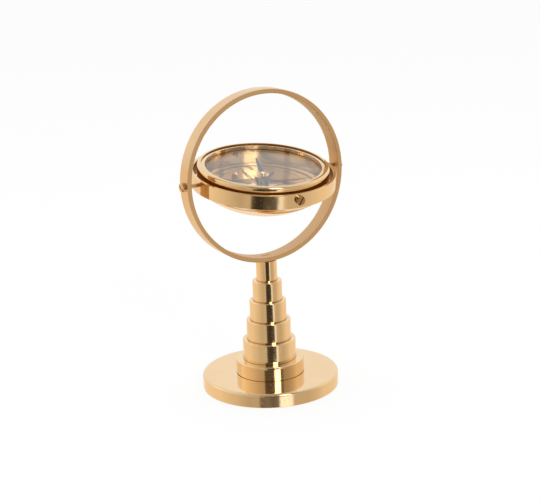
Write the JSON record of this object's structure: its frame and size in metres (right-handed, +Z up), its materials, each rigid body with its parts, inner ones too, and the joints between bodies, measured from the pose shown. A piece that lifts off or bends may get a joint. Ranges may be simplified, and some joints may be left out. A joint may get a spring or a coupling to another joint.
{
  "type": "magnetic compass",
  "caption": "Brass desk compass: a glazed bowl with needle and dial hangs in a two-axis gimbal inside an upright ring on a stepped column and round base.",
  "frame": {"origin": "middle of the flat felt face that the base rests on", "axes": "+Z up along the column, X along the outer pivots of the gimbal, -Y towards the side that the bowl is tipped to"},
  "size_m": [0.1398, 0.1168, 0.2377],
  "materials": {
    "polished_brass": "mirror-polished yellow brass under clear lacquer",
    "satin_brass": "polished brass with satin, brushed faces",
    "inner_brass": "polished brass, slightly dulled, seen under the glass",
    "dial_brass": "brass dial with dark printed scale and star",
    "blued_steel": "dark blued steel",
    "plain_steel": "plain turned steel",
    "stone": "dark red stone cup, polished",
    "gasket_rubber": "matt black sealing ring",
    "cover_glass": "clear flat glass",
    "felt": "dark green felt"
  },
  "bodies": {
    "stand": {"base_disc": "polished_brass", "felt_pad": "felt", "stepped_column": "polished_brass", "base_bolt": "plain_steel", "base_washer": "plain_steel", "outer_ring": "satin_brass", "ring_screw": "polished_brass", "ring_pivot_left": "polished_brass", "ring_pivot_right": "polished_brass"},
    "gimbal": {"gimbal_ring": "polished_brass", "bowl_pivot_front": "polished_brass", "bowl_pivot_back": "polished_brass"},
    "bowl": {"bowl_shell": "polished_brass", "dial_plate": "dial_brass", "spacer_sleeve": "inner_brass", "glass_gasket": "gasket_rubber", "cover_glass": "cover_glass", "retaining_ring": "polished_brass", "needle_pin": "plain_steel"},
    "needle": {"compass_needle": "blued_steel", "needle_hub": "polished_brass", "needle_jewel": "stone"}
  },
  "joints": [
    {"name": "gimbal_pitch", "type": "hinge", "parent": "stand", "child": "gimbal", "pos_m": [0, 0, 0.17039], "axis": [1, 0, 0], "continuous": true},
    {"name": "bowl_roll", "type": "hinge", "parent": "gimbal", "child": "bowl", "pos_m": [0, 0, 0.17039], "axis": [0, 0.9869, 0.1616], "continuous": true},
    {"name": "needle_spin", "type": "hinge", "parent": "bowl", "child": "needle", "pos_m": [0, 0, 0.17039], "axis": [0, -0.1616, 0.9869], "continuous": true}
  ]
}
